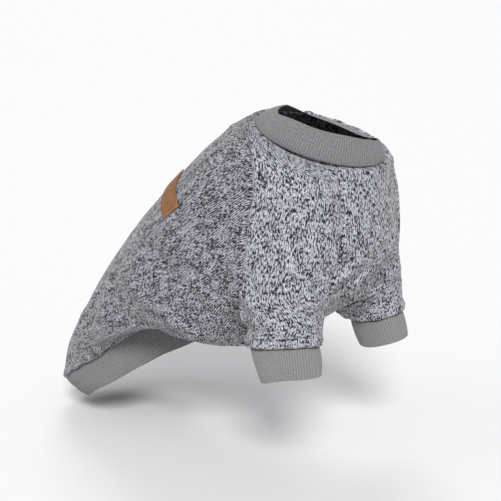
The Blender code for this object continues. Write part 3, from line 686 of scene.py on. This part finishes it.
SLEEVE_MIDDLE = (
    # row, x, y, z
    (0.0, 83, 0, -10),
    (1.0, 86, 22, -57),
    (2.0, 91, 42, -97),
    (3.0, 93, 60, -144),
    (4.0, 101, 71, -187),
)
SLEEVE_COLUMNS = 16
TUBE_ROWS = 2  # between the underarm and the cuff's seam
SEAM_HOLD = 5  # how near to the seams the cloth keeps their slant
SLEEVE_PARTS = 5
SLEEVE_SEAM = (1.3, 1.6)  # the sleeve's edge stands over the panels'
CLOSE_OVER = 0.8  # how many rows below the underarm its seam takes to even out
SLEEVES = (
    # side, piece, node
    (-1, "right_sleeve_fleece", "sleeve_right"),
    (1, "left_sleeve_fleece", "sleeve_left"),
)


def sleeve_strip():
    """The left sleeve's coarse grid, and the row where it closes under the arm."""
    at = np.arange(UNDERARM * ROWS_PER_SECTION + 1) / ROWS_PER_SECTION
    back = trunk_points(at, seam_angle(BACK_RAGLAN, at))
    front = trunk_points(at, seam_angle(FRONT_RAGLAN, at))
    rows = np.array([row[1:] for row in SLEEVE_MIDDLE], float)
    middle = spline(rows, at)
    down = unit(spline(rows, at + STEP) - spline(rows, at - STEP))
    neck_down = trunk_section(0.0)[2] * np.array([1, 0, 1])
    neck_down = neck_down if neck_down[2] < 0 else -neck_down
    centre, cuff_down, cuff_fore, cuff_side, half_fore, half_side = sleeve_section(float(CUFF_SEAM))
    share, low = np.clip(at, 0, 1)[:, None], np.clip(at - UNDERARM + 1, 0, 1)[:, None]
    down = unit(neck_down * (1 - share) + (down * (1 - low) + cuff_down * low) * share)
    fore = unit(np.array([1.0, 0, 0]) - down[:, :1] * down)
    side = np.cross(down, fore)
    side *= np.where(side[:, 1:2] < 0, -1.0, 1.0)
    ways = []
    for seam in (back, front):
        way = seam - middle
        angle = np.arctan2(dot(way, side), dot(way, fore))
        ways.append((angle, np.arctan2(dot(way, down), np.hypot(dot(way, side), dot(way, fore)))))
    (back_angle, back_lift), (front_angle, front_lift) = ways
    back_angle = np.where(back_angle < 0, back_angle + 2 * np.pi, back_angle)
    front_angle = np.where(front_angle > np.pi / 2, front_angle - 2 * np.pi, front_angle)
    front_angle[-1] = back_angle[-1] - 2 * np.pi
    part = np.linspace(0, 1, SLEEVE_COLUMNS + 1)
    angle = back_angle[:, None] * (1 - part) + front_angle[:, None] * part
    lift = back_lift[:, None] * (1 - part) ** SEAM_HOLD + front_lift[:, None] * part**SEAM_HOLD
    flat = fore[:, None] * np.cos(angle)[..., None] + side[:, None] * np.sin(angle)[..., None]
    ways = flat * np.cos(lift)[..., None] + down[:, None] * np.sin(lift)[..., None]
    strip = cast(np.broadcast_to(middle[:, None], ways.shape), ways)
    strip[:, 0], strip[:, -1] = back, front
    way = strip[-1] - centre
    angle = np.arctan2(dot(way, cuff_side), dot(way, cuff_fore))
    x, y = np.cos(angle), np.sin(angle)
    radius = oval(x, y, half_fore, half_side, FULLNESS)
    ring = centre + (cuff_fore * x[:, None] + cuff_side * y[:, None]) * radius[:, None]
    rows_down = (np.arange(TUBE_ROWS + 1) + 1) / (TUBE_ROWS + 1)
    tube = strip[-1] * (1 - rows_down[:, None, None]) + ring * rows_down[:, None, None]
    return np.concatenate([strip, tube]), len(strip) - 1


strip, crotch = sleeve_strip()
down, around = steps(len(strip) - 1, SLEEVE_PARTS), steps(SLEEVE_COLUMNS, SLEEVE_PARTS)
smooth = finer(strip, down, around)
seam_rows = int(np.searchsorted(down, crotch))
for side, name, node in SLEEVES:
    grid = smooth * (MIRROR if side < 0 else 1.0)
    normals = grid_normals(grid) * -side
    normals *= np.sign(dot(normals, grid - grid.mean(axis=1, keepdims=True)).mean())
    for row in range(seam_rows, len(grid)):
        normals[row, 0] = normals[row, -1] = unit(normals[row, 0] + normals[row, -1])
    across, along = lengths(grid, 1), lengths(grid, 0)
    edge = np.minimum(across, across[:, -1:] - across)
    closed = np.clip((down - crotch) / CLOSE_OVER, 0, 1)[:, None]
    below = along.mean(axis=1)[-1] - np.broadcast_to(along.mean(axis=1)[:, None], across.shape)
    height = fold_height(grid) + rumple(grid) + beside_seam(edge, *SLEEVE_SEAM) * (1 - closed)
    height += beside_band(along, across) + beside_band(below, across)
    outer = grid + normals * height[..., None]
    outer[seam_rows:, -1] = outer[seam_rows:, 0]
    arm = cloth_mesh(name, outer, outer - normals * FLEECE, seam_rows, grain_of(across, along), fleece)
    if side > 0:
        arm.data.flip_normals()
    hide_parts(node)


# ---- Collar ------------------------------------------------------------------------
# A band of mid-grey rib knit, folded double along its top edge, sewn into a ring and to
# the neckline. Its ribs stand over a plain inside.

RIB_PITCH, RIB_HEIGHT = 2.5, 0.55
RIB_KNIT = 1.9  # the doubled knit's thickness, over its ribs
RIB_POINTS = 8  # round each rib
RIB_RISE = 0.06  # the share of a band's depth over which its ribs come up from the seam
RIB_AT_SEAM = 0.4  # the share of their height that they have there
FOLD_DEPTH = 0.02  # how far each row of the fold runs on, as a share of a band's depth
RIB_STITCH = (0.9, 1.6)  # width and length
RIB_ROUGHNESS, RIB_SHEEN = 0.9, 0.2
# Painted shade darkens the furrows between the ribs, on top of their modelled relief.
RIB_SHADE = 0.72  # how light the furrows between the ribs stay
COLLAR_GREYS = (0.262, 0.263, 0.268), (0.145, 0.146, 0.15)  # the light and the dark yarn
BAND_STEP = 0.9  # how far a band lies inside the fleece at its seam
COLLAR_BULGE = 2.4  # how far it swells outward halfway up
COLLAR_RIM = (43, 17, 139, -7, 50)  # back_x, back_z, front_x, front_z, half_width
COLLAR_TIP = (4.0, -14.0)  # how far its right and left sides stand above its middle
RIM_WAVES = (1.1, 0.8)  # how far the rim's three long and five short waves rise
BAND_ROWS, FOLD_ROWS, INSIDE_ROWS = 14, 5, 5


def rib_knit(name, light, dark):
    """Rib knit: grey marl with painted shade between the ribs, and small stitches up each rib."""
    knit = bpy.data.materials.new(name)
    knit.use_nodes = True
    add = nodes_for(knit)
    shader = knit.node_tree.nodes["Principled BSDF"]
    link = knit.node_tree.links.new
    place = add("ShaderNodeUVMap", uv_map="grain").outputs["UV"]
    size = add("ShaderNodeMapping", [("Vector", place)])
    size.inputs["Scale"].default_value = (1 / RIB_STITCH[0] / MM, 1 / RIB_STITCH[1] / MM, 1)
    yarn = add("ShaderNodeTexNoise", [("Vector", size.outputs["Vector"])], scale=1.0, detail=3.0,
               roughness=0.65).outputs["Fac"]
    marl = ramp(add, yarn, (0.35, dark), (0.62, light))
    stripe = add("ShaderNodeMapping", [("Vector", place)])
    stripe.inputs["Scale"].default_value = (1 / RIB_PITCH / MM / WAVE_UNIT, 0, 1)
    ribs = add("ShaderNodeTexWave", [("Vector", stripe.outputs["Vector"])], scale=2 * pi, distortion=0.0)
    # Painted shade in the furrows between the ribs, as light as RIB_SHADE at its darkest.
    shade = ramp(add, ribs.outputs["Fac"], (0.0, (1.0,) * 3), (0.85, (RIB_SHADE,) * 3))
    link(mix(add, "MULTIPLY", 1.0, marl, shade), shader.inputs["Base Color"])
    shader.inputs["Roughness"].default_value = RIB_ROUGHNESS
    shader.inputs["Sheen Weight"].default_value = RIB_SHEEN
    shader.inputs["Specular IOR Level"].default_value = 0.2
    relief = add("ShaderNodeBump", [("Height", yarn)], strength=0.5, distance=0.0004)
    link(relief.outputs["Normal"], shader.inputs["Normal"])
    return knit


def band(name, first, last, out, bulge, material):
    """A ribbed ring between two rings of points, given as functions of the turn from 0 to 1."""
    coarse = np.arange(200) / 200
    rings = first(coarse), last(coarse)
    girths = [np.linalg.norm(np.diff(ring, axis=0, append=ring[:1]), axis=1).sum() for ring in rings]
    ribs = round(sum(girths) / 2 / RIB_PITCH)
    turns = np.arange(ribs * RIB_POINTS) / (ribs * RIB_POINTS)
    top, edge, outward = first(turns), last(turns), out(turns)
    along = unit(edge - top)
    cross = 0.5 - 0.5 * np.cos(2 * pi * ribs * turns)
    shares = np.linspace(0, 1, BAND_ROWS)
    rows, depths = [], []
    for share in shares:
        ease = np.clip(share / RIB_RISE, 0, 1)
        lift = bulge(share, turns) - RIB_HEIGHT * cross * (RIB_AT_SEAM + (1 - RIB_AT_SEAM) * ease)
        rows.append(top + (edge - top) * share + outward * lift[:, None])
        depths.append(share)
    for k in range(1, FOLD_ROWS + 1):
        angle = pi * k / (FOLD_ROWS + 1)
        sink = (1 - np.cos(angle)) * RIB_KNIT / 2 + RIB_HEIGHT * cross * (1 - k / (FOLD_ROWS + 1))
        rows.append(edge + along * np.sin(angle) * RIB_KNIT / 2 - outward * sink[:, None])
        depths.append(1 + FOLD_DEPTH * k)
    for share in np.linspace(1, 0, INSIDE_ROWS):
        rows.append(top + (edge - top) * share + outward * (bulge(share, turns) - RIB_KNIT)[:, None])
        depths.append(share)
    rows = np.array(rows)
    count, size = len(turns), len(rows)
    index = np.arange(count * size).reshape(size, count)
    ahead, below = np.roll(index, -1, axis=1), np.roll(index, -1, axis=0)
    faces = np.stack([index, below, np.roll(ahead, -1, axis=0), ahead], axis=-1).reshape(-1, 4)
    deep = np.linalg.norm(edge - top, axis=1).mean()
    across = np.tile(turns * ribs * RIB_PITCH, (size, 1))
    uv = np.stack([across, np.array(depths)[:, None] * deep + 0 * across], axis=-1).reshape(-1, 2)
    middle = rows[0].mean(axis=0)
    probe = np.cross(rows[1, 0] - rows[0, 0], rows[0, 1] - rows[0, 0])
    if dot(probe, rows[0, 0] - middle) < 0:
        faces = faces[:, ::-1]
    return add_piece(name, posed(rows.reshape(-1, 3)), faces, uv, material)


def ring_between(back_x, back_z, front_x, front_z, half_width, turns):
    """An oval ring through a point at its back and one at its front."""
    back, front = np.array([back_x, 0, back_z], float), np.array([front_x, 0, front_z], float)
    to_back = unit(back - front)
    x, y = np.cos(turns * 2 * np.pi), np.sin(turns * 2 * np.pi)
    radius = oval(x, y, np.linalg.norm(back - front) / 2, half_width, 2.0)
    side = np.array([0.0, 1.0, 0.0])
    return (back + front) / 2 + (to_back * x[:, None] + side * y[:, None]) * radius[:, None]


def body_rings(where, edge, tip, waves):
    """The seam ring, the free edge's ring and the outward way of a band on the trunk."""
    row = TRUNK_ROWS[int(where)]
    centre, _, normal, *_ = trunk_section(where)
    at_back = np.zeros(1)
    ahead = ring_between(*edge, at_back)[0] - ring_between(*row[:5], at_back)[0]
    normal = normal * np.sign(dot(normal, ahead))

    def out(turns):
        ring = ring_between(*row[:5], turns) - centre
        return unit(ring - dot(ring, normal)[..., None] * normal)

    def first(turns):
        return ring_between(*row[:5], turns) - out(turns) * BAND_STEP

    def last(turns):
        ring = ring_between(*edge, turns)
        ring[:, 2] += np.interp(ring[:, 1] / edge[4], (-1, 0, 1), (tip[0], 0, tip[1]))
        ring[:, 2] += waves[0] * np.sin(6 * pi * turns + 0.7) + waves[1] * np.sin(10 * pi * turns + 2.1)
        return ring

    return first, last, out


def collar_bulge(share, turns):
    wave = 0.5 * np.sin(8 * pi * turns + 1.0) + 0.4 * np.sin(14 * pi * turns)
    return (COLLAR_BULGE + wave) * 4 * share * (1 - share)


grey_rib = rib_knit("grey_rib", *COLLAR_GREYS)
collar = band("collar_rib", *body_rings(0.0, COLLAR_RIM, COLLAR_TIP, RIM_WAVES), collar_bulge, grey_rib)
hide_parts("collar")


# ---- Hem band ----------------------------------------------------------------------
# A long band of the same rib, folded double and sewn round the back opening, a little
# deeper under the belly. It is drawn in, so that the fleece hangs over its seam.

HEM_EDGE = (-205, -313, -83, -242, 71)  # back_x, back_z, front_x, front_z, half_width
HEM_WAVES = (0.8, 0.6)
HEM_BULGE = 1.8
HEM_CREASE, CREASE_AT, CREASE_WIDTH = 0.7, 0.48, 0.08  # a soft line round the band's middle


def hem_bulge(share, turns):
    crease = HEM_CREASE * np.exp(-(((share - CREASE_AT) / CREASE_WIDTH) ** 2))
    wave = 0.35 * np.sin(10 * pi * turns + 1.0)
    return (HEM_BULGE + wave) * 4 * share * (1 - share) - crease


hem = band("hem_rib", *body_rings(HEM, HEM_EDGE, (0.0, 0.0), HEM_WAVES), hem_bulge, grey_rib)
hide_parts("hem_band")


# ---- Cuffs -------------------------------------------------------------------------
# A short ring of lighter rib knit at the end of each sleeve, folded double at its free edge
# as the collar is, and sewn to the sleeve. It is a little tighter than the sleeve.

CUFF_GREYS = (0.305, 0.302, 0.298), (0.185, 0.183, 0.18)
CUFF_BULGE, CUFF_WAVE = 1.1, 0.3
EDGE_WAVE = 0.5
CUFFS = (
    # piece, node, sleeve, flip
    ("right_cuff_rib", "cuff_right", "sleeve_right", MIRROR),
    ("left_cuff_rib", "cuff_left", "sleeve_left", np.ones(3)),
)

cuff_rib = rib_knit("cuff_rib", *CUFF_GREYS)


def cuff_rings(flip):
    """The seam ring, the free edge's ring and the outward way of a cuff."""

    def ring(at, turns):
        centre, _, fore, across, half_fore, half_side = sleeve_section(at)
        x, y = np.cos(turns * 2 * np.pi), np.sin(turns * 2 * np.pi)
        radius = oval(x, y, half_fore, half_side, FULLNESS)
        return centre + (fore * x[:, None] + across * y[:, None]) * radius[:, None]

    centre = sleeve_section(float(CUFF_SEAM))[0]

    def out(turns):
        return unit(ring(float(CUFF_SEAM), turns) - centre) * flip

    def first(turns):
        return ring(float(CUFF_SEAM), turns) * flip - out(turns) * BAND_STEP

    def last(turns):
        edge = ring(CUFF_SEAM + 1.0, turns) * flip
        edge[:, 2] += EDGE_WAVE * np.sin(6 * pi * turns)
        return edge

    return first, last, out


def cuff_bulge(share, turns):
    wave = CUFF_WAVE * np.sin(8 * pi * turns + 0.4)
    return (CUFF_BULGE + wave) * 4 * share * (1 - share)


for name, node, sleeve, flip in CUFFS:
    cuff = band(name, *cuff_rings(flip), cuff_bulge, cuff_rib)
    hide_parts(node)


# ---- Label -------------------------------------------------------------------------
# A bare patch of smooth tan leather with rounded corners, sewn on behind the right
# shoulder with a running stitch inside its edge.

LABEL_THICKNESS, LABEL_LIFT = 1.5, 0.5
LABEL_ROUND = 0.04  # its corners' radius, for a label with sides of 1
LABEL_EDGE = 0.35  # how far its cut edge is rounded down
LABEL_FACES = np.array([-0.3, -1.0, 0.6])  # about the way that it faces
TAN_DARK, TAN_LIGHT = (0.20, 0.080, 0.024), (0.29, 0.128, 0.044)
LEATHER_TONE, LEATHER_PORES = 90.0, 1400.0  # for each metre
LEATHER_ROUGHNESS = 0.52
RINGS, SPOKES = 10, 96


def label_base(down, across):
    """Points and normals of the back panel at shares down and across the label."""
    corners = np.array([row[1:] for row in LABEL], float)
    top = corners[0] * (1 - down[..., None]) + corners[1] * down[..., None]
    bottom = corners[3] * (1 - down[..., None]) + corners[2] * down[..., None]
    spots = top * (1 - across[..., None]) + bottom * across[..., None]
    points = []
    for further, round_ in ((0, 0), (0.02, 0), (0, 1)):
        points.append(trunk_points(spots[..., 0] + further, -np.radians(spots[..., 1] + round_)))
    normals = unit(np.cross(points[1] - points[0], points[2] - points[0]))
    normals *= np.sign(dot(normals, LABEL_FACES))[..., None]
    return points[0], normals


def tan_leather():
    hide = bpy.data.materials.new("tan_leather")
    hide.use_nodes = True
    add = nodes_for(hide)
    shader = hide.node_tree.nodes["Principled BSDF"]
    link = hide.node_tree.links.new
    place = add("ShaderNodeTexCoord").outputs["Object"]
    tone = add("ShaderNodeTexNoise", [("Vector", place)], scale=LEATHER_TONE, detail=4.0, roughness=0.6)
    tan = ramp(add, tone.outputs["Fac"], (0.3, TAN_DARK), (0.7, TAN_LIGHT))
    link(tan, shader.inputs["Base Color"])
    pores = add("ShaderNodeTexVoronoi", [("Vector", place)], scale=LEATHER_PORES).outputs["Distance"]
    relief = add("ShaderNodeBump", [("Height", pores)], strength=0.35, distance=0.0002)
    link(relief.outputs["Normal"], shader.inputs["Normal"])
    shader.inputs["Roughness"].default_value = LEATHER_ROUGHNESS
    return hide


def rounded_square(count, corner):
    """Points round a square with sides 1 about the origin, with small round corners."""
    along = np.linspace(-0.5, 0.5, count, endpoint=False)
    side = np.stack([np.full(count, 0.5), along], axis=-1)
    turned = []
    for turn in np.arange(4) * pi / 2:
        turned.append(side @ np.array([[cos(turn), sin(turn)], [-sin(turn), cos(turn)]]))
    points = np.concatenate(turned)
    inner = np.clip(points, corner - 0.5, 0.5 - corner)
    return inner + unit(points - inner) * corner


outline = rounded_square(SPOKES // 4, LABEL_ROUND)
levels = np.concatenate([np.linspace(0.08, 0.94, RINGS), [0.98, 1.0]])
sink = np.concatenate([np.zeros(RINGS), [0.1, LABEL_EDGE]])
spots = 0.5 + outline[None] * levels[:, None, None]
base, normals = label_base(spots[..., 1], spots[..., 0])
face = base + normals * (LABEL_LIFT + LABEL_THICKNESS - sink)[:, None, None]
under = base[-1:] + normals[-1:] * LABEL_LIFT
grid = np.concatenate([face, under])
count = len(grid)
index = np.arange(count * SPOKES).reshape(count, SPOKES)
ahead = np.roll(index, -1, axis=1)
faces = np.stack([index[:-1], index[1:], ahead[1:], ahead[:-1]], axis=-1).reshape(-1, 4).tolist()
faces += [index[0].tolist(), index[-1, ::-1].tolist()]
probe = np.cross(grid[1, 0] - grid[0, 0], grid[0, 1] - grid[0, 0])
if dot(probe, normals[0, 0]) < 0:
    faces = [face[::-1] for face in faces]
no_grain = np.zeros((count * SPOKES, 2))
patch = add_piece("label_patch", posed(grid.reshape(-1, 3)), faces, no_grain, tan_leather())
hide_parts("label")

# Stitches of thick thread, each a small long bead lying in the leather.
STITCH_INSET, STITCH_PITCH, STITCH_LENGTH, STITCH_WIDTH = 0.84, 3.0, 2.1, 0.75
STITCH_AROUND, STITCH_ALONG = 6, 5
STITCH_END, STITCH_FLATNESS = 0.92, 0.8
THREAD_COLOUR, THREAD_ROUGHNESS = (0.13, 0.052, 0.022, 1), 0.7
line = rounded_square(200, LABEL_ROUND) * STITCH_INSET
path, out = label_base(line[:, 1] + 0.5, line[:, 0] + 0.5)
path = path + out * (LABEL_LIFT + LABEL_THICKNESS)
run = np.concatenate([[0], np.cumsum(np.linalg.norm(np.diff(path, axis=0, append=path[:1]), axis=1))])
stitches = round(run[-1] / STITCH_PITCH)
points, faces = [], []
for k in range(stitches):
    place = (k + 0.5) * run[-1] / stitches
    at = int(np.searchsorted(run, place)) % len(path)
    ahead = unit(path[(at + 1) % len(path)] - path[at - 1])
    aside = np.cross(out[at], ahead)
    first = len(points)
    for share in np.linspace(-STITCH_END, STITCH_END, STITCH_ALONG):
        thick = STITCH_WIDTH / 2 * np.sqrt(1 - share**2)
        for turn in np.arange(STITCH_AROUND) / STITCH_AROUND * 2 * pi:
            ring = aside * cos(turn) * thick + out[at] * sin(turn) * thick * STITCH_FLATNESS
            points.append(path[at] + ahead * share * STITCH_LENGTH / 2 + ring)
    for i in range(STITCH_ALONG - 1):
        for j in range(STITCH_AROUND):
            row = first + i * STITCH_AROUND
            a, b = row + j, row + (j + 1) % STITCH_AROUND
            faces.append((a, b, b + STITCH_AROUND, a + STITCH_AROUND))
    last = first + (STITCH_ALONG - 1) * STITCH_AROUND
    faces.append(tuple(range(first + STITCH_AROUND - 1, first - 1, -1)))
    faces.append(tuple(range(last, last + STITCH_AROUND)))
thread = bpy.data.materials.new("tan_thread")
thread.use_nodes = True
thread.node_tree.nodes["Principled BSDF"].inputs["Base Color"].default_value = THREAD_COLOUR
thread.node_tree.nodes["Principled BSDF"].inputs["Roughness"].default_value = THREAD_ROUGHNESS
add_piece("label_stitches", posed(np.array(points)), faces, np.zeros((len(points), 2)), thread)
